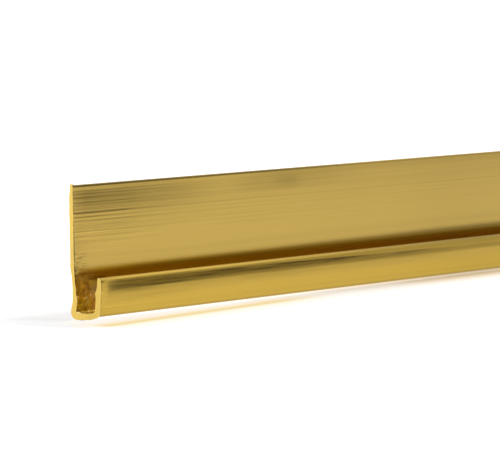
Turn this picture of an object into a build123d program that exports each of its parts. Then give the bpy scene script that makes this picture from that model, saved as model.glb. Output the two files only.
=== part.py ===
from build123d import *
from math import radians, tan
import os

# A J-trim for thin wall panels: one strip of rigid PVC, extruded in one piece and cut off square.
# The tall flange lies flat on the wall behind the panel, and the channel at its foot takes the
# panel's edge. X runs along the strip, the wall is on the +Y side, and the base stands on Z = 0.

# Overall sizes in millimetres
strip_length = 457.0
overall_height = 25.4
overall_width = 7.7
front_leg_height = 8.2

# Walls
flange_thickness = 0.92
back_wall_thickness = 1.08
web_thickness = 1.28
front_leg_foot_thickness = 1.25
front_leg_lip_thickness = 1.0

# The wall side: the heel and the flange touch the wall, and the channel's back wall stands off it
kink_gap = 0.54
kink_height = 4.0
flange_foot_height = 9.2
heel_height = 1.8

# Inside the channel the flange's front face runs down flat, then the back wall bends forward
channel_back_distance = 1.2
inner_kink_height = 3.7
inner_bend_height = 7.2

# The free edge of the flange is thinner, and it nods a little towards the room
tip_zone = 2.6
tip_lean = 0.1
tip_thickness = 0.7

# The web is level at the back, then it rises to a sloping corner under the front leg, which leans
# out and ends upright
rising_run = 3.35
web_rise_angle = 8.5
front_slope_run = 1.2
front_corner_height = 0.9
front_leg_overhang = 0.45
lip_land = 2.4

# Rounding of the outer corners, of the channel's two inner corners and of the gentle bends
heel_radius = 1.5
front_corner_radius = 0.5
channel_back_radius = 0.45
channel_front_radius = 0.6
bend_radius = 1.4
web_bend_radius = 6.0

# Rounding of the two free edges, as shares of their wall's thickness
tip_back_rounding = 0.6
tip_front_rounding = 0.3
lip_back_rounding = 0.35
lip_front_rounding = 0.45


def from_wall(distance):
    """Place along Y of a point this far in front of the wall."""
    return overall_width / 2 - distance


# Distances from the wall that follow from the sizes above
inner_kink = kink_gap + back_wall_thickness
tip_face = flange_thickness + tip_lean
foot_outside = overall_width - front_leg_overhang
foot_inside = foot_outside - front_leg_foot_thickness
lip_inside = overall_width - front_leg_lip_thickness
level_base = foot_outside - rising_run
slope_start = foot_outside - front_slope_run

# Heights that follow from the rising web
rise = tan(radians(web_rise_angle))
slope_start_height = (slope_start - level_base) * rise
foot_inside_height = web_thickness + (foot_inside - level_base) * rise

# Each corner of the section: its distance from the wall, its height and its rounding
heel = (0, 0, heel_radius)
heel_top = (0, heel_height, bend_radius)
kink = (kink_gap, kink_height, bend_radius)
flange_foot = (0, flange_foot_height, bend_radius)
tip_start_back = (0, overall_height - tip_zone, bend_radius)
tip_back = (tip_face - tip_thickness, overall_height, tip_back_rounding * tip_thickness)
tip_front = (tip_face, overall_height, tip_front_rounding * tip_thickness)
tip_start_front = (flange_thickness, overall_height - tip_zone, bend_radius)
inner_bend = (flange_thickness, inner_bend_height, bend_radius)
channel_kink = (inner_kink, inner_kink_height, bend_radius)
channel_back = (channel_back_distance, web_thickness, channel_back_radius)
floor_bend = (level_base, web_thickness, web_bend_radius)
channel_front = (foot_inside, foot_inside_height, channel_front_radius)
lip_back = (lip_inside, front_leg_height, lip_back_rounding * front_leg_lip_thickness)
lip_front = (overall_width, front_leg_height, lip_front_rounding * front_leg_lip_thickness)
lip_land_end = (overall_width, front_leg_height - lip_land, bend_radius)
front_corner = (foot_outside, front_corner_height, front_corner_radius)
front_slope = (slope_start, slope_start_height, bend_radius)
base_bend = (level_base, 0, web_bend_radius)

wall_side = [heel, heel_top, kink, flange_foot, tip_start_back]
flange_tip = [tip_back, tip_front, tip_start_front]
back_wall_inside = [inner_bend, channel_kink, channel_back]
channel_front_and_lip = [floor_bend, channel_front, lip_back, lip_front, lip_land_end]
base = [front_corner, front_slope, base_bend]
section_corners = wall_side + flange_tip + back_wall_inside + channel_front_and_lip + base

# The strip: the section's sharp outline first, then its rounded corners, run out along X
with BuildPart() as j_trim:
    with BuildSketch(Plane.YZ) as section:
        with BuildLine():
            Polyline(*[(from_wall(distance), height) for distance, height, _ in section_corners], close=True)
        make_face()
        for distance, height, radius in section_corners:
            corner = section.vertices().sort_by_distance((from_wall(distance), height))[0]
            fillet(corner, radius)
    extrude(amount=strip_length / 2, both=True)

j_trim.part.label = "j_trim"
os.makedirs("parts", exist_ok=True)
export_step(j_trim.part, "parts/j_trim.step")
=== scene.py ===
import math

import bpy
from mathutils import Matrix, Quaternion, Vector


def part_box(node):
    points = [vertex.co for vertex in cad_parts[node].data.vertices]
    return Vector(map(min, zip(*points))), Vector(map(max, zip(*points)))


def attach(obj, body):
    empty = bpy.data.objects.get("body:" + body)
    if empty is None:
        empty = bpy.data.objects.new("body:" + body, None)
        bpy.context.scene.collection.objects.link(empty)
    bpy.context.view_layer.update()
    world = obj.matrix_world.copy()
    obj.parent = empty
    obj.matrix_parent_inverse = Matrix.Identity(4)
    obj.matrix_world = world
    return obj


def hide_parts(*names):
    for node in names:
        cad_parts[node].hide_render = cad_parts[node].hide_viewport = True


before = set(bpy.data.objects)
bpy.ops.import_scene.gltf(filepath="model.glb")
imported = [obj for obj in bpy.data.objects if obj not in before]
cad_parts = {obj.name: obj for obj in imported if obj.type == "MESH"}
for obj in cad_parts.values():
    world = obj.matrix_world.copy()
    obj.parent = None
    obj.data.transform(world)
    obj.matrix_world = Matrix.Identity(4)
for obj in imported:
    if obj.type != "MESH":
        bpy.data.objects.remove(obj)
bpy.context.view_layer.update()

# The strip is one length of rigid PVC with a metallised gold film, extruded through a die and cut
# off with a saw. Its outline is drawn corner by corner on the near cut end, with the slight crown
# that the flange and the front leg have in the light, and then it is run out to the far end.
millimetre = 0.001
strip_low, strip_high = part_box("j_trim")
near_end = strip_low.x
far_end = strip_high.x
wall_plane = strip_high.y
strip_top = strip_high.z / millimetre
strip_depth = (strip_high.y - strip_low.y) / millimetre

# Each corner: distance in front of the wall, height, rounding radius and steps in the rounding
wall_side = [
    (0.0, 0.0, 1.5, 10),
    (0.0, 1.8, 1.4, 4),
    (0.54, 4.0, 1.4, 4),
    (0.0, 9.2, 1.4, 3),
    (0.0, 22.8, 1.4, 3),
]
free_edge = [
    (0.32, strip_top, 0.38, 6),
    (0.90, strip_top, 0.24, 6),
    (0.90, 24.5, 0.6, 3),
]
flange_front = [
    (0.92, 20.0, 9.0, 4),
    (0.92, 11.0, 6.0, 4),
    (0.82, 7.2, 1.4, 4),
]
channel = [
    (1.62, 3.7, 1.4, 4),
    (1.2, 1.28, 0.45, 6),
    (3.9, 1.28, 6.0, 3),
    (6.0, 1.59, 0.6, 7),
]
front_leg = [
    (6.72, 8.2, 0.22, 6),
    (strip_depth - 0.22, 8.2, 0.72, 10),
    (strip_depth, 5.6, 3.0, 8),
    (strip_depth - 0.45, 1.0, 0.4, 7),
]
web_underside = [
    (strip_depth - 1.65, 0.32, 1.4, 3),
    (strip_depth - 3.8, 0.0, 6.0, 4),
]
outline = wall_side + free_edge + flange_front + channel + front_leg + web_underside


def on_cut_end(distance, height):
    """Point on the near cut end, so many millimetres in front of the wall and above the base."""
    return Vector((near_end, wall_plane - distance * millimetre, height * millimetre))


bpy.ops.object.select_all(action="DESELECT")
bpy.ops.mesh.primitive_plane_add(
    size=millimetre,
    location=on_cut_end(*outline[0][:2]),
    rotation=(0, math.radians(90), 0),
)
strip = bpy.context.object
strip.name = "trim_strip"
bpy.ops.object.transform_apply(location=True, rotation=True)
bpy.ops.object.mode_set(mode="EDIT")
bpy.ops.mesh.select_mode(type="VERT")
bpy.ops.mesh.select_all(action="SELECT")
bpy.ops.mesh.merge(type="CENTER")
for before, after in zip(outline, outline[1:]):
    side_step = (before[0] - after[0]) * millimetre
    up_step = (after[1] - before[1]) * millimetre
    bpy.ops.mesh.extrude_vertices_move(TRANSFORM_OT_translate={"value": (0, side_step, up_step)})
bpy.ops.mesh.select_all(action="SELECT")
bpy.ops.mesh.edge_face_add()
bpy.ops.object.mode_set(mode="OBJECT")

# Every corner is rounded with its own radius
for number, (distance, height, radius, steps) in enumerate(outline):
    here = Vector((distance, height))
    towards_last = Vector(outline[number - 1][:2]) - here
    towards_next = Vector(outline[(number + 1) % len(outline)][:2]) - here
    half_turn = (math.pi - towards_last.angle(towards_next)) / 2
    corner = on_cut_end(distance, height)
    nearest = min(strip.data.vertices, key=lambda vertex: (vertex.co - corner).length).index
    bpy.ops.object.mode_set(mode="EDIT")
    bpy.ops.mesh.select_all(action="DESELECT")
    bpy.ops.object.mode_set(mode="OBJECT")
    strip.data.vertices[nearest].select = True
    bpy.ops.object.mode_set(mode="EDIT")
    bpy.ops.mesh.bevel(
        offset=radius * math.tan(half_turn) * millimetre,
        offset_type="OFFSET",
        segments=steps,
        profile=0.5,
        affect="VERTICES",
    )
    bpy.ops.object.mode_set(mode="OBJECT")

# The outline's long sides are divided, so that the saw's marks can bend them near the cut
longest_side = 0.64 * millimetre
most_rounds = 7
bpy.ops.object.mode_set(mode="EDIT")
bpy.ops.mesh.select_mode(type="EDGE")
bpy.ops.object.mode_set(mode="OBJECT")
for division in range(most_rounds):
    bpy.ops.object.mode_set(mode="EDIT")
    bpy.ops.mesh.select_all(action="DESELECT")
    bpy.ops.object.mode_set(mode="OBJECT")
    ends = strip.data.vertices
    for edge in strip.data.edges:
        first, second = edge.vertices
        edge.select = (ends[first].co - ends[second].co).length > longest_side
    if not any(edge.select for edge in strip.data.edges):
        break
    bpy.ops.object.mode_set(mode="EDIT")
    bpy.ops.mesh.subdivide(number_cuts=1, ngon=True)
    bpy.ops.object.mode_set(mode="OBJECT")

# The outline is run out along X in rings, which stand close together near both cuts
ring_places = [0.12, 0.35, 0.7, 1.2, 2.0, 3.2, 5.0, 9.0, 20.0, 60.0, 140.0]
rings = [near_end + place * millimetre for place in ring_places]
rings += [far_end - place * millimetre for place in reversed(ring_places)]
rings.append(far_end)
bpy.ops.object.mode_set(mode="EDIT")
bpy.ops.mesh.select_mode(type="FACE")
bpy.ops.mesh.select_all(action="SELECT")
last_ring = near_end
for ring in rings:
    bpy.ops.mesh.extrude_region_move(TRANSFORM_OT_translate={"value": (ring - last_ring, 0, 0)})
    last_ring = ring
bpy.ops.mesh.select_all(action="SELECT")
bpy.ops.mesh.normals_make_consistent(inside=False)
bpy.ops.mesh.select_mode(type="VERT")
bpy.ops.mesh.select_all(action="DESELECT")
bpy.ops.object.mode_set(mode="OBJECT")


def measure(spot):
    """Millimetres of a point from the nearest cut, in front of the wall and above the base."""
    from_cut = min(spot.x - near_end, far_end - spot.x)
    return from_cut / millimetre, (wall_plane - spot.y) / millimetre, spot.z / millimetre


def push_points(chosen, move, reach):
    """Move the chosen points, and those within reach by less, all in millimetres."""
    for vertex in strip.data.vertices:
        vertex.select = chosen(vertex.co)
    bpy.ops.object.mode_set(mode="EDIT")
    bpy.ops.transform.translate(
        value=[share * millimetre for share in move],
        use_proportional_edit=True,
        proportional_edit_falloff="SMOOTH",
        proportional_size=reach * millimetre,
        use_proportional_connected=False,
    )
    bpy.ops.mesh.select_all(action="DESELECT")
    bpy.ops.object.mode_set(mode="OBJECT")


def at_shoulder(spot):
    """The back wall's shoulder on either cut."""
    from_cut, in_front, level = measure(spot)
    return from_cut < 0.01 and in_front < 2.0 and 6.3 < level < 8.4


def at_lip(spot):
    """The last millimetre of the front leg's lip, at either cut."""
    from_cut, in_front, level = measure(spot)
    return from_cut < 0.8 and in_front > 6.4 and level > 7.6


# The saw pushed the shoulder forward, and it flared the lip a little, which turns it to the light
push_points(at_shoulder, move=(0, -0.22, 0), reach=2.0)
push_points(at_lip, move=(0, -0.16, 0), reach=2.8)

# Two burrs stand on the near cut, on the flange's top corner and on the front leg's inner edge
for place, burr_radius, burr_move in (
    ((0.5, strip_top), 0.35, (-0.06, 0.0, 0.2)),
    ((6.42, 5.1), 0.3, (-0.04, 0.17, 0.04)),
):
    burr = on_cut_end(*place)
    push_points(
        lambda spot: (spot - burr).length < burr_radius * millimetre,
        move=burr_move,
        reach=0.5,
    )


def tear(name, chosen, cuts):
    """Tear the chosen points: each cut has its axis, the size of its pattern, its middle and depth."""
    for vertex in strip.data.vertices:
        vertex.select = chosen(vertex.co)
    strip.vertex_groups.new(name=name)
    bpy.ops.object.mode_set(mode="EDIT")
    bpy.context.scene.tool_settings.vertex_group_weight = 1.0
    bpy.ops.object.vertex_group_assign()
    bpy.ops.mesh.select_all(action="DESELECT")
    bpy.ops.object.mode_set(mode="OBJECT")
    for axis, size, middle, depth in cuts:
        clouds = bpy.data.textures.new(name + "_" + axis.lower(), type="CLOUDS")
        clouds.noise_scale = size * millimetre
        clouds.noise_depth = 2
        torn = strip.modifiers.new(name, "DISPLACE")
        torn.texture = clouds
        torn.texture_coords = "LOCAL"
        torn.vertex_group = name
        torn.direction = axis
        torn.mid_level = middle
        torn.strength = depth * millimetre
        bpy.ops.object.modifier_apply(modifier=torn.name)


def at_cut_edge(spot):
    """The cut's edge on either end, clear of the table."""
    from_cut, in_front, level = measure(spot)
    return from_cut < 0.2 and level > 0.12


def at_base_edge(spot):
    """The cut's lowest edge on either end."""
    from_cut, in_front, level = measure(spot)
    return from_cut < 0.2 and level < 0.6


# The cut edge itself is ragged, and below, the saw tore small notches up into the base
tear("cut_edge", at_cut_edge, [("Y", 0.9, 0.5, 0.16), ("Z", 0.7, 0.5, 0.16)])
tear("base_edge", at_base_edge, [("Z", 0.8, 0.25, 0.4)])


def new_group(name, inputs, outputs):
    """Empty group of shader nodes with the named sockets of the given types."""
    group = bpy.data.node_groups.new(name, "ShaderNodeTree")
    for in_out, sockets in (("INPUT", inputs), ("OUTPUT", outputs)):
        for socket, kind in sockets.items():
            group.interface.new_socket(name=socket, in_out=in_out, socket_type=kind)
    return group


def add(kind, terms=None, **settings):
    """New node in the node tree in work. Of its terms, a socket is linked and a value is set."""
    node = tree.nodes.new(kind)
    for name, value in settings.items():
        setattr(node, name, value)
    for name, term in (terms or {}).items():
        if isinstance(term, bpy.types.NodeSocket):
            tree.links.new(term, node.inputs[name])
        else:
            node.inputs[name].default_value = term
    return node


def calculate(operation, *terms):
    """Result of a sum on sockets and plain numbers."""
    return add("ShaderNodeMath", dict(enumerate(terms)), operation=operation).outputs["Value"]


def scaled(value, times, plus):
    """Value times one number, plus another."""
    return calculate("MULTIPLY_ADD", value, times, plus)


def product(first, *others):
    """Sockets and plain numbers multiplied with each other."""
    for other in others:
        first = calculate("MULTIPLY", first, other)
    return first


def strip_place():
    """Millimetres from the nearest cut, above the base and in front of the wall, and the near half."""
    point = add("ShaderNodeTexCoord")
    split = add("ShaderNodeSeparateXYZ", {"Vector": point.outputs["Object"]})
    from_middle = calculate("ABSOLUTE", split.outputs["X"])
    per_metre = 1.0 / millimetre
    return {
        "Along": scaled(from_middle, times=-per_metre, plus=far_end * per_metre),
        "Height": product(split.outputs["Z"], per_metre),
        "Front": scaled(split.outputs["Y"], times=-per_metre, plus=wall_plane * per_metre),
        "Near Half": calculate("LESS_THAN", split.outputs["X"], 0.0),
    }


# The place on the strip steers both of its materials
place_names = ("Along", "Height", "Front", "Near Half")
place_group = new_group("place_on_strip", {}, dict.fromkeys(place_names, "NodeSocketFloat"))
tree = place_group
add("NodeGroupOutput", strip_place())

# The grain is noise on the object's own coordinates, stretched along the strip or not
grain_group = new_group(
    "surface_grain",
    {
        "Stretch": "NodeSocketVector",
        "Size": "NodeSocketFloat",
        "Detail": "NodeSocketFloat",
        "Roughness": "NodeSocketFloat",
    },
    {"Grain": "NodeSocketFloat"},
)
tree = grain_group
given = add("NodeGroupInput").outputs
point = add("ShaderNodeTexCoord")
stretched = add("ShaderNodeMapping", {"Vector": point.outputs["Object"], "Scale": given["Stretch"]})
noise = add(
    "ShaderNodeTexNoise",
    {
        "Vector": stretched.outputs["Vector"],
        "Scale": given["Size"],
        "Detail": given["Detail"],
        "Roughness": given["Roughness"],
    },
)
add("NodeGroupOutput", {"Grain": noise.outputs["Fac"]})


def smooth_step(value, low, high, at_low, at_high):
    """Value that turns smoothly from at_low to at_high between the bounds low and high."""
    terms = {"Value": value, "From Min": low, "From Max": high, "To Min": at_low, "To Max": at_high}
    return add("ShaderNodeMapRange", terms, interpolation_type="SMOOTHSTEP").outputs["Result"]


# One line that the die left: a soft dark thread at one height, added to the lines so far
line_inputs = ("Height", "Centre", "Half Width", "Depth", "So Far")
line_group = new_group(
    "die_line",
    dict.fromkeys(line_inputs, "NodeSocketFloat"),
    {"Shade": "NodeSocketFloat"},
)
tree = line_group
given = add("NodeGroupInput").outputs
off_centre = calculate("ABSOLUTE", calculate("SUBTRACT", given["Height"], given["Centre"]))
thread = smooth_step(off_centre, 0.0, given["Half Width"], 1.0, 0.0)
add("NodeGroupOutput", {"Shade": scaled(thread, times=given["Depth"], plus=given["So Far"])})


def grain(stretch, size, detail=2.0, roughness=0.5):
    """Grain of one size, stretched along the three axes."""
    terms = {"Stretch": stretch, "Size": size, "Detail": detail, "Roughness": roughness}
    return add("ShaderNodeGroup", terms, node_tree=grain_group).outputs["Grain"]


def ramp(value, stops, easing="LINEAR"):
    """Colour that follows a value through the stops, each with its place and its colour."""
    first, last = stops[0][0], stops[-1][0]
    share = add("ShaderNodeMapRange", {"Value": value, "From Min": first, "From Max": last})
    curve = add("ShaderNodeValToRGB", {"Fac": share.outputs["Result"]})
    curve.color_ramp.interpolation = easing
    curve.color_ramp.elements[0].color = stops[0][1] + (1.0,)
    curve.color_ramp.elements[1].color = stops[-1][1] + (1.0,)
    for place, colour in stops[1:-1]:
        stop = curve.color_ramp.elements.new((place - first) / (last - first))
        stop.color = colour + (1.0,)
    return curve.outputs["Color"]


def graph(value, stops):
    """Number that follows a value, mostly a length in millimetres, through the stops."""
    return ramp(value, [(place, (level,) * 3) for place, level in stops], "EASE")


def blend(share, first, second, blend_type="MIX"):
    """Colour between two colours or sockets."""
    terms = {"Factor": share, "A": first, "B": second}
    return add("ShaderNodeMix", terms, data_type="RGBA", blend_type=blend_type).outputs["Result"]


def tinted(colour, share, tint):
    """Colour that takes a tint where the share says so."""
    return blend(share, colour, blend(1.0, colour, tint, "MULTIPLY"))


def darkened(light, share):
    """Light that keeps what the share leaves of it."""
    return calculate("MULTIPLY", light, calculate("SUBTRACT", 1.0, share))


# The skin is a satin gold mirror with the die's fine lines in it. Its colour also carries painted
# light
# and shade: the light's falloff along the strip, and painted reflections on the flange, leg and
# channel.
gold_skin = bpy.data.materials.new("gold_skin")
gold_skin.use_nodes = True
tree = gold_skin.node_tree
skin = tree.nodes["Principled BSDF"]
along, height, front, near_half = add("ShaderNodeGroup", node_tree=place_group).outputs
face_side = graph(front, [(0.35, 0.0), (0.6, 1.0)])
on_leg = graph(front, [(6.85, 0.0), (7.0, 1.0)])
off_leg = calculate("SUBTRACT", 1.0, on_leg)
inside = product(off_leg, graph(front, [(0.6, 0.0), (0.75, 1.0)]))

# The die lines at their heights on the flange, each with its half width and depth, and finer
# threads between them. They show most by the cut end.
shade = None
for centre, half_width, depth in (
    (24.1, 0.24, 0.26),
    (23.55, 0.26, 0.3),
    (23.05, 0.2, 0.12),
    (22.82, 0.2, 0.34),
    (21.95, 0.26, 0.32),
    (21.45, 0.22, 0.26),
    (20.6, 0.18, 0.16),
    (20.02, 0.24, 0.66),
    (19.2, 0.22, 0.26),
    (18.45, 0.26, 0.38),
    (17.6, 0.16, 0.16),
    (17.2, 0.18, 0.18),
    (16.5, 0.22, 0.24),
    (15.55, 0.22, 0.18),
    (14.4, 0.22, 0.14),
    (13.1, 0.2, 0.06),
    (11.6, 0.26, 0.1),
):
    terms = {"Height": height, "Centre": centre, "Half Width": half_width, "Depth": depth}
    if shade:
        terms["So Far"] = shade
    shade = add("ShaderNodeGroup", terms, node_tree=line_group).outputs["Shade"]
threads = scaled(grain((0.025, 0.2, 4.0), 1500.0, 3.0, 0.65), times=-1.3, plus=0.65)
shade = calculate("ADD", shade, threads)
line_fade = graph(
    along,
    [(0, 1.0), (12, 1.0), (20, 0.55), (32, 0.26), (50, 0.2), (75, 0.14), (228, 0.08)],
)
broken = scaled(grain((0.25, 1.0, 1.0), 500.0), times=0.9, plus=0.55)
upper = graph(height, [(8.0, 0.25), (12.0, 0.35), (17.0, 1.0), (25.0, 1.0)])
kept = calculate("SUBTRACT", 1.0, product(shade, line_fade, broken, upper, face_side))

# Towards its free edge the flange takes painted shade for its dark reflection, most near the cut end;
# on the near half a darker patch lies further on
top_shade_zone = graph(
    height,
    [
        (15.0, 0.0),
        (18.0, 0.2),
        (20.3, 0.5),
        (21.6, 0.95),
        (23.4, 1.0),
        (24.1, 0.95),
        (24.4, 0.55),
        (24.8, 0.55),
        (25.4, 0.5),
    ],
)
top_shade_length = graph(
    along,
    [(0, 0.14), (1.6, 0.3), (4, 0.42), (15, 0.38), (25, 0.28), (45, 0.06), (78, 0.06), (228, 0.05)],
)
near_top_patch = product(
    graph(along, [(44, 0.0), (56, 0.13), (64, 0.27), (71, 0.12), (88, 0.0)]),
    graph(height, [(20.6, 0.0), (22.0, 0.6), (22.9, 1.0), (23.8, 0.7), (24.7, 0.4)]),
)
top_shade_length = scaled(near_top_patch, times=near_half, plus=top_shade_length)
kept = darkened(kept, product(top_shade_zone, top_shade_length, face_side))

# The free edge itself carries a painted dark reflection, and away from the cut a soft painted shade
# lies under it
edge_shade_zone = graph(height, [(24.85, 0.0), (25.0, 0.6), (25.34, 0.6), (25.38, 0.0)])
edge_shade_length = graph(along, [(0, 1.0), (50, 0.9), (68, 0.6), (90, 0.15), (228, 0.1)])
kept = darkened(kept, product(edge_shade_zone, edge_shade_length, face_side))
shade_zone = graph(height, [(23.5, 0.0), (24.5, 1.0)])
shade_length = graph(along, [(45, 0.0), (62, 0.15), (90, 0.13), (228, 0.1)])
kept = darkened(kept, product(shade_zone, face_side, shade_length))

# Painted light: the film darkens slowly away from the cut, where the room's light falls off
light_falloff = graph(
    along,
    [(0, 0.98), (5, 1.0), (30, 0.99), (60, 0.96), (90, 0.925), (120, 0.86), (228, 0.86)],
)
kept = product(kept, light_falloff)

# Low on the flange a painted shade for the channel's dark brown reflection creeps higher with the
# distance from the cut
climb = graph(along, [(15, 0.0), (47, 0.12), (90, 0.45), (118, 0.65), (228, 0.65)])
creep = calculate("SUBTRACT", height, climb)
foot_shade_zone = product(
    graph(height, [(8.2, 0.0), (8.4, 0.1), (8.6, 0.57), (8.85, 1.0)]),
    graph(
        creep,
        [(9.1, 1.0), (9.4, 0.7), (9.6, 0.42), (9.8, 0.2), (10.2, 0.07), (11.2, 0.1), (12.6, 0.0)],
    ),
    inside,
)
foot_shade_length = graph(
    along,
    [(0, 0.03), (8, 0.2), (20, 0.39), (32, 0.45), (47, 0.49), (90, 0.45), (118, 0.48), (228, 0.45)],
)
kept = darkened(kept, product(foot_shade_zone, foot_shade_length))

# Under its lip the front leg shows a dark band, a reflection of the room that is partly real and
# partly painted shade, streaked and broken where it starts by the cut. Its lower side climbs and its
# upper side falls with the distance from the cut.
streaks = scaled(grain((0.08, 1.0, 3.4), 900.0, 3.0, 0.65), times=2.2, plus=-0.1)
lower_climb = graph(
    along,
    [
        (3, -0.22),
        (7, -0.2),
        (13, 0.08),
        (20, 0.42),
        (28, 0.84),
        (34, 0.92),
        (47, 1.1),
        (62, 1.12),
        (90, 1.1),
        (118, 0.85),
    ],
)
rising = calculate("SUBTRACT", height, lower_climb)
upper_fall = graph(along, [(30, 0.0), (47, 0.04), (62, 0.14), (90, 0.42), (118, 0.75)])
falling = calculate("ADD", height, upper_fall)
band_shade_zone = product(
    graph(
        rising,
        [
            (2.7, 0.0),
            (3.4, 0.13),
            (4.1, 0.28),
            (4.5, 0.31),
            (4.8, 0.36),
            (5.1, 0.52),
            (5.65, 0.88),
            (6.05, 1.0),
            (8.2, 1.0),
        ],
    ),
    graph(falling, [(7.2, 1.0), (7.52, 0.0)]),
)
band_shade_length = graph(
    along,
    [
        (0.6, 0.0),
        (1.5, 0.12),
        (2.3, 0.42),
        (10, 0.48),
        (20, 0.54),
        (32, 0.63),
        (47, 0.71),
        (62, 0.69),
        (90, 0.55),
        (118, 0.14),
        (228, 0.1),
    ],
)
core_shade_zone = graph(height, [(5.45, 0.0), (5.75, 1.0), (6.2, 1.0), (6.5, 0.0)])
core_shade_length = graph(along, [(1.8, 0.0), (3.5, 0.2), (10, 0.2), (16, 0.0)])
kept = darkened(kept, product(core_shade_zone, on_leg, core_shade_length))
kept = darkened(kept, product(band_shade_zone, band_shade_length, on_leg, streaks))

# Painted shade: the lip and the leg's lowest edge are a little darker than the leg between them
lip_zone = graph(height, [(7.6, 0.0), (7.9, 1.0)])
lip_length = graph(
    along,
    [(0, 0.3), (2, 0.2), (30, 0.2), (47, 0.23), (62, 0.3), (90, 0.43), (118, 0.52), (228, 0.4)],
)
lip = product(lip_zone, lip_length, on_leg)
leg_foot_shade = product(graph(height, [(1.1, 0.42), (1.55, 0.13), (2.1, 0.08), (2.7, 0.0)]), on_leg)
kept = darkened(kept, calculate("ADD", lip, leg_foot_shade))

# By the cut the flange's foot is scuffed, and along the corner a thin grey line lies that is partly
# crumbs and partly painted shade of the cut edge
scuffs = graph(grain((0.3, 1.0, 3.0), 1400.0, 3.0, 0.65), [(0.46, 0.0), (0.6, 0.5)])
scuff_zone = product(
    graph(along, [(0.0, 1.0), (1.5, 0.8), (5.0, 0.0)]),
    graph(height, [(8.3, 1.0), (11.5, 1.0), (13.5, 0.3), (18.0, 0.1)]),
    off_leg,
)
kept = darkened(kept, product(scuffs, scuff_zone))
crumbs_and_shade = graph(grain((1.0, 1.0, 0.6), 2600.0, 3.0, 0.7), [(0.42, 0.2), (0.56, 1.0)])
crumb_and_shade_zone = product(
    graph(along, [(0.1, 1.0), (0.42, 0.0)]),
    graph(height, [(2.0, 0.3), (7.5, 0.4), (9.0, 1.0), (16.0, 0.95), (18.5, 0.45), (25.4, 0.35)]),
)

# Deeper in the channel, behind its mouth, hardly any light comes in
deep_zone = graph(height, [(4.5, 0.0), (5.5, 1.0), (7.4, 1.0), (8.2, 0.0)])
deep_length = graph(along, [(2.0, 0.0), (4.0, 0.42), (7.5, 0.42), (10.0, 0.0)])
kept = darkened(kept, product(inside, deep_zone, deep_length))

# The film's gold, with painted reflection colours: paler on the front leg, olive under the lip, warm
# at the leg's foot and brown from the flange's foot down into the channel
film_gold = (0.607, 0.411, 0.097, 1.0)
leg_reflection_tint = (0.95, 0.925, 0.66, 1.0)
olive_reflection_tint = (1.0, 0.92, 0.68, 1.0)
warm_reflection_tint = (1.0, 0.99, 0.77, 1.0)
brown_reflection_tint = (1.0, 0.83, 0.02, 1.0)
low_reflection_tint = (0.99, 1.2, 1.0, 1.0)
crumb_and_shade_grey = (0.1, 0.085, 0.06, 1.0)
film = blend(1.0, film_gold, kept, "MULTIPLY")
film = tinted(film, on_leg, leg_reflection_tint)
olive = product(
    graph(height, [(5.9, 0.0), (6.5, 0.8), (7.2, 1.0), (7.45, 0.0)]),
    on_leg,
    graph(along, [(3, 0.0), (9, 1.0), (55, 1.0), (90, 0.2)]),
)
film = tinted(film, olive, olive_reflection_tint)
warm_foot = product(
    graph(height, [(1.0, 1.0), (3.6, 0.9), (4.6, 0.0)]),
    on_leg,
    graph(along, [(8, 0.3), (60, 0.6), (110, 1.0)]),
)
film = tinted(film, warm_foot, warm_reflection_tint)
brown_reflection_zone = graph(
    height,
    [
        (5.6, 0.0),
        (6.8, 0.9),
        (8.8, 0.97),
        (9.0, 0.84),
        (9.2, 0.74),
        (9.4, 0.58),
        (9.6, 0.25),
        (9.9, 0.0),
    ],
)
brown = product(brown_reflection_zone, inside, graph(along, [(0, 0.45), (10, 1.0)]))
film = tinted(film, brown, brown_reflection_tint)
# Painted reflection colour: low in the channel the brown is lifted in green
low = product(
    graph(along, [(2, 0.0), (14, 1.0), (60, 1.0), (90, 0.6), (118, 0.4)]),
    inside,
    graph(height, [(5.6, 0.0), (6.8, 1.0), (7.9, 1.0), (8.6, 0.05)]),
)
film = tinted(film, low, low_reflection_tint)
film = blend(product(crumbs_and_shade, crumb_and_shade_zone), film, crumb_and_shade_grey)

# The underside of the web lies close over the bright table, and its colour is a painted reflection of
# the table's white, which darkens away from the cut
underside = product(
    graph(height, [(0.75, 1.0), (0.92, 0.0)]),
    graph(front, [(2.5, 0.0), (3.6, 1.0), (7.4, 1.0)]),
)
under_reflection_colour = ramp(
    along,
    [
        (0.0, (1.0, 0.95, 0.88)),
        (35.0, (0.95, 0.86, 0.76)),
        (60.0, (0.88, 0.77, 0.64)),
        (75.0, (0.76, 0.62, 0.45)),
        (90.0, (0.68, 0.54, 0.36)),
        (105.0, (0.54, 0.4, 0.23)),
        (120.0, (0.48, 0.35, 0.17)),
    ],
)
film = blend(underside, film, under_reflection_colour)

# In the mouth of the channel the saw left a mottled crust of melted PVC, duller than the film
crust = product(
    graph(front, [(0.78, 0.0), (0.86, 1.0), (6.6, 1.0), (6.9, 0.0)]),
    graph(height, [(1.0, 0.0), (1.15, 1.0), (7.2, 1.0), (8.7, 0.0)]),
    graph(along, [(0.0, 1.0), (3.5, 0.95), (6.0, 0.25), (8.0, 0.0)]),
)
mottle = ramp(
    grain((1.0, 1.0, 1.0), 780.0, 6.0, 0.72),
    [(0.4, (0.14, 0.06, 0.002)), (0.5, (0.25, 0.11, 0.003)), (0.6, (0.37, 0.18, 0.014))],
)
# Painted light and shade: the crust is brighter or darker with its height in the channel
crust_light_level = graph(
    height,
    [
        (1.7, 1.2),
        (2.2, 2.1),
        (2.8, 1.9),
        (3.6, 1.5),
        (4.5, 0.95),
        (5.2, 0.92),
        (6.2, 0.98),
        (6.9, 0.8),
        (7.8, 1.1),
    ],
)
crust_colour_and_light = blend(1.0, mottle, crust_light_level, "MULTIPLY")
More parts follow.
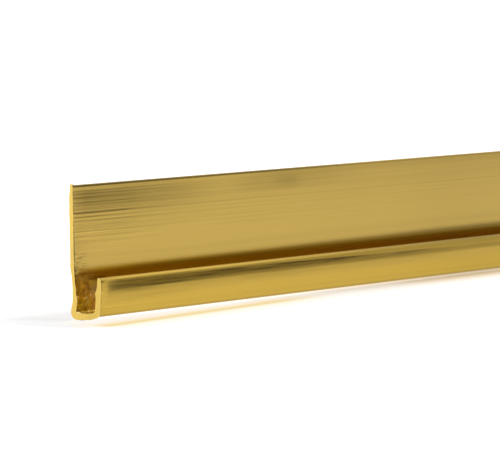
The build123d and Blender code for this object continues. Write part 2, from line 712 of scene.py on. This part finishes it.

# The crust is paler low down, with light specks, a dark rim of painted shade at the cut and a painted
# highlight along the sill
low_crust_tint = (1.0, 1.28, 1.2, 1.0)
speck_colour = (0.6, 0.44, 0.18, 1.0)
rim_shade_colour = (0.07, 0.04, 0.01, 1.0)
sill_highlight_colour = (0.95, 0.76, 0.34, 1.0)
crust_colour_and_light = tinted(crust_colour_and_light, graph(height, [(3.2, 1.0), (4.2, 0.0)]), low_crust_tint)
specks = product(
    graph(grain((1.0, 1.0, 1.0), 1500.0, 2.0, 0.6), [(0.6, 0.0), (0.68, 0.8)]),
    graph(height, [(5.2, 1.0), (6.4, 0.0)]),
)
crust_colour_and_light = blend(specks, crust_colour_and_light, speck_colour)
crust_colour_and_light = blend(graph(along, [(0.05, 0.35), (0.3, 0.0)]), crust_colour_and_light, rim_shade_colour)
sill_highlight = product(
    graph(height, [(1.42, 1.0), (1.62, 0.0)]),
    graph(grain((1.0, 1.0, 1.0), 900.0), [(0.34, 0.5), (0.55, 1.0)]),
    graph(along, [(0.4, 1.0), (1.4, 0.0)]),
)
crust_colour_and_light = blend(sill_highlight, crust_colour_and_light, sill_highlight_colour)

film_roughness = 0.24
crust_roughness = 0.6
crust_metal = 0.5
metal = scaled(crust, times=crust_metal - 1.0, plus=1.0)
roughness = scaled(crust, times=crust_roughness - film_roughness, plus=film_roughness)
tree.links.new(blend(crust, film, crust_colour_and_light), skin.inputs["Base Color"])
tree.links.new(metal, skin.inputs["Metallic"])
tree.links.new(roughness, skin.inputs["Roughness"])
skin.inputs["Specular IOR Level"].default_value = 0.0

# The cut face shows the bare yellow PVC, matt and gritty from the saw
cut_face = bpy.data.materials.new("cut_face")
cut_face.use_nodes = True
tree = cut_face.node_tree
bare_pvc = tree.nodes["Principled BSDF"]
bare_yellow = (0.86, 0.588, 0.104, 1.0)
cut_place = add("ShaderNodeGroup", node_tree=place_group).outputs
# Painted light and shade: the cut face is darkest about 12 mm up and brighter near the wall; the grain
# is the saw's grit
lit_part = product(
    graph(cut_place["Height"], [(9.5, 0.91), (12.0, 0.86), (15.0, 0.92)]),
    scaled(grain((1.0, 1.0, 1.0), 2200.0, 3.0, 0.6), times=0.24, plus=0.88),
    graph(cut_place["Front"], [(2.2, 1.13), (5.0, 1.02)]),
)
tree.links.new(blend(1.0, bare_yellow, lit_part, "MULTIPLY"), bare_pvc.inputs["Base Color"])
bare_pvc.inputs["Roughness"].default_value = 0.6

strip.data.materials.append(gold_skin)
strip.data.materials.append(cut_face)
for face in strip.data.polygons:
    face.material_index = 1 if abs(face.normal.x) > 0.7 else 0
bpy.ops.object.shade_smooth_by_angle(angle=math.radians(35))

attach(strip, "root")
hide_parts("j_trim")

# The table top is a plain sheet of white acrylic, polished on top. It glows a little, so that the
# strip throws hardly a shadow, and the glow is held back beside the strip and before its cut end.
table_half_width = 6.0
table_grey = (0.22, 0.22, 0.22, 1.0)
polish_grey = (0.15, 0.15, 0.15, 1.0)
white = (1.0, 1.0, 1.0, 1.0)
bpy.ops.mesh.primitive_plane_add(size=2 * table_half_width, location=(0, 0, 0))
table_top = bpy.context.object
table_top.name = "table_top"
acrylic = bpy.data.materials.new("white_acrylic")
acrylic.use_nodes = True
tree = acrylic.node_tree
sheet = tree.nodes["Principled BSDF"]
sheet.inputs["Base Color"].default_value = table_grey
sheet.inputs["Roughness"].default_value = 0.9
sheet.inputs["Specular IOR Level"].default_value = 0.0
path = add("ShaderNodeLightPath")
table_place = strip_place()
from_cut = table_place["Along"]
from_wall = table_place["Front"]
# Painted light: extra glow on the table under the strip and just in front of it
under_strip = product(
    graph(from_wall, [(-2.0, 0.0), (1.0, 1.0), (10.0, 1.0), (14.0, 0.0)]),
    graph(from_cut, [(-1.5, 0.0), (1.0, 1.0)]),
)
# Painted shade: beside the strip the glow for the camera is held back, so the table is darker there
# and the light's shadow shows; end_shade is painted shadow round the cut end
beside = product(
    graph(from_wall, [(-32.0, 0.0), (-6.0, 0.72), (11.0, 0.72), (17.0, 0.0)]),
    graph(from_cut, [(-16.0, 0.0), (-11.0, 1.0)]),
)
seen_glow = darkened(path.outputs["Is Camera Ray"], beside)
end_shade = product(
    graph(from_cut, [(-30.0, 0.0), (-14.0, 1.0), (-4.0, 1.0), (3.0, 0.0)]),
    graph(from_wall, [(-16.0, 0.0), (-7.0, 0.5), (-1.0, 1.0), (7.0, 1.0), (14.0, 0.0)]),
)
table_glow = scaled(end_shade, times=-0.4, plus=calculate("MAXIMUM", under_strip, seen_glow))
table_glow = scaled(path.outputs["Is Glossy Ray"], times=0.4, plus=table_glow)
glow = add("ShaderNodeEmission", {"Strength": scaled(table_glow, times=0.3, plus=0.52)})
gloss = add("ShaderNodeBsdfGlossy", {"Color": polish_grey, "Roughness": 0.12})
lit = add("ShaderNodeAddShader", {0: sheet.outputs["BSDF"], 1: glow.outputs["Emission"]})
polished = add("ShaderNodeAddShader", {0: lit.outputs["Shader"], 1: gloss.outputs["BSDF"]})

# Seen flat along the table, a painted reflection shows the strip's lower edge as a warm line in a pale
# glow, as its polish would. The line starts in front of the near cut and drifts towards the wall's
# side along the strip.
line_lead = 4.0
line_reach = 130.0
line_start = 13.3
line_drift = 0.072
line_half_width = 10.0
aside = calculate("MINIMUM", calculate("ADD", from_cut, line_lead), line_reach)
from_line = calculate("ADD", from_wall, scaled(aside, times=line_drift, plus=-line_start))
line_reflection_colour = ramp(
    from_line,
    [
        (-line_half_width, (1.0, 0.96, 0.91)),
        (-4.0, (1.0, 0.91, 0.79)),
        (-1.4, (0.96, 0.8, 0.5)),
        (-0.3, (0.92, 0.71, 0.36)),
        (0.6, (0.92, 0.72, 0.38)),
        (1.9, (0.99, 0.9, 0.62)),
        (3.2, (1.0, 0.97, 0.8)),
        (4.5, (1.0, 1.0, 0.88)),
        (7.0, (1.0, 1.0, 0.95)),
        (line_half_width, (1.0, 1.0, 1.0)),
    ],
)
near_reflection_tint = blend(graph(from_cut, [(45, 1.0), (75, 0.0)]), white, line_reflection_colour)

# Further along, a painted reflection shows the web's shaded underside in front of the strip's foot
underside_reflection_colour = ramp(
    from_wall,
    [
        (0.0, (0.52, 0.37, 0.17)),
        (2.7, (0.539, 0.392, 0.191)),
        (4.2, (0.584, 0.423, 0.212)),
        (5.7, (0.672, 0.527, 0.337)),
        (7.2, (0.776, 0.624, 0.418)),
        (8.6, (0.871, 0.716, 0.521)),
        (10.1, (0.973, 0.84, 0.665)),
        (11.5, (1.0, 0.913, 0.768)),
        (13.0, (1.0, 1.0, 0.86)),
        (16.0, (1.0, 1.0, 1.0)),
    ],
)
underside_reflection_share = graph(
    from_cut,
    [(38, 0.0), (55, 0.2), (62, 0.3), (75, 0.52), (88, 0.6), (103, 0.9), (118, 1.0)],
)
far_reflection_tint = blend(underside_reflection_share, white, underside_reflection_colour)
# The painted reflection is an emission that stands in for the table where the camera sees it flat
mirrored = add("ShaderNodeEmission", {"Color": blend(1.0, near_reflection_tint, far_reflection_tint, "MULTIPLY")})
facing = add("ShaderNodeLayerWeight")
mirror_share = product(
    graph(from_wall, [(0.5, 0.0), (1.5, 1.0)]),
    graph(from_cut, [(-10.0, 0.0), (-4.0, 1.0), (150.0, 1.0), (200.0, 0.0)]),
    graph(from_line, [(7.0, 1.0), (14.0, 0.0)]),
    graph(facing.outputs["Facing"], [(0.84, 0.0), (0.89, 1.0), (0.924, 1.0), (0.937, 0.0)]),
    path.outputs["Is Camera Ray"],
    table_place["Near Half"],
)
surface = add(
    "ShaderNodeMixShader",
    {0: mirror_share, 1: polished.outputs["Shader"], 2: mirrored.outputs["Emission"]},
)
tree.links.new(surface.outputs["Shader"], tree.nodes["Material Output"].inputs["Surface"])
table_top.data.materials.append(acrylic)

# One broad soft light stands in front of the strip, high on the right of it. It is as wide as a
# big softbox, and it throws the strip's faint shadow back and to the left.
bpy.ops.object.light_add(type="SUN", location=(0.3, -0.4, 0.6))
soft_light = bpy.context.object
soft_light.name = "soft_light"
soft_light.rotation_mode = "QUATERNION"
soft_light.rotation_quaternion = Vector((-0.37, 0.52, -0.77)).to_track_quat("-Z", "Y")
soft_light.data.energy = 2.3
soft_light.data.angle = math.radians(30)

# The room is a white tent: it shows white behind the strip, and in the metal it is dark just
# over the table's edge on the camera's side and bright overhead.
tent_bright = 1.15
tent_dark = 0.03
world = bpy.data.worlds.new("white_tent")
bpy.context.scene.world = world
world.use_nodes = True
tree = world.node_tree
direction = add("ShaderNodeTexCoord")
parts = add("ShaderNodeSeparateXYZ", {"Vector": direction.outputs["Generated"]})
over_table = smooth_step(parts.outputs["Z"], 0.18, 0.42, 1.0, 0.0)
camera_side = smooth_step(parts.outputs["Y"], -0.69, -0.57, 1.0, 0.3)
shades = {"Value": product(over_table, camera_side), "To Min": tent_bright, "To Max": tent_dark}
room = add("ShaderNodeMapRange", shades)
tent_path = add("ShaderNodeLightPath")
tent_colour = blend(tent_path.outputs["Is Glossy Ray"], white, room.outputs["Result"])
background = tree.nodes["Background"]
tree.links.new(tent_colour, background.inputs["Color"])
background.inputs["Strength"].default_value = 1.0

# The camera looks along the strip from in front of its cut end, a little above the table. It has
# a long lens, and it is turned a little about its own line of sight.
camera_place = Vector((-0.725056, -0.453376, 0.065))
camera_azimuth = math.radians(-50.2348)
camera_elevation = math.radians(4.211)
camera_roll = math.radians(0.7714)
bpy.ops.object.camera_add(location=camera_place)
camera = bpy.context.object
level_share = math.cos(camera_elevation)
backward = Vector(
    (
        math.sin(camera_azimuth) * level_share,
        -math.cos(camera_azimuth) * level_share,
        math.sin(camera_elevation),
    )
)
camera.rotation_mode = "QUATERNION"
camera.rotation_quaternion = (-backward).to_track_quat("-Z", "Y") @ Quaternion((0, 0, 1), -camera_roll)
camera.data.sensor_width = 36.0
camera.data.lens = 259.2
camera.data.clip_start = 0.01
bpy.context.scene.camera = camera
bpy.context.scene.view_settings.view_transform = "Standard"
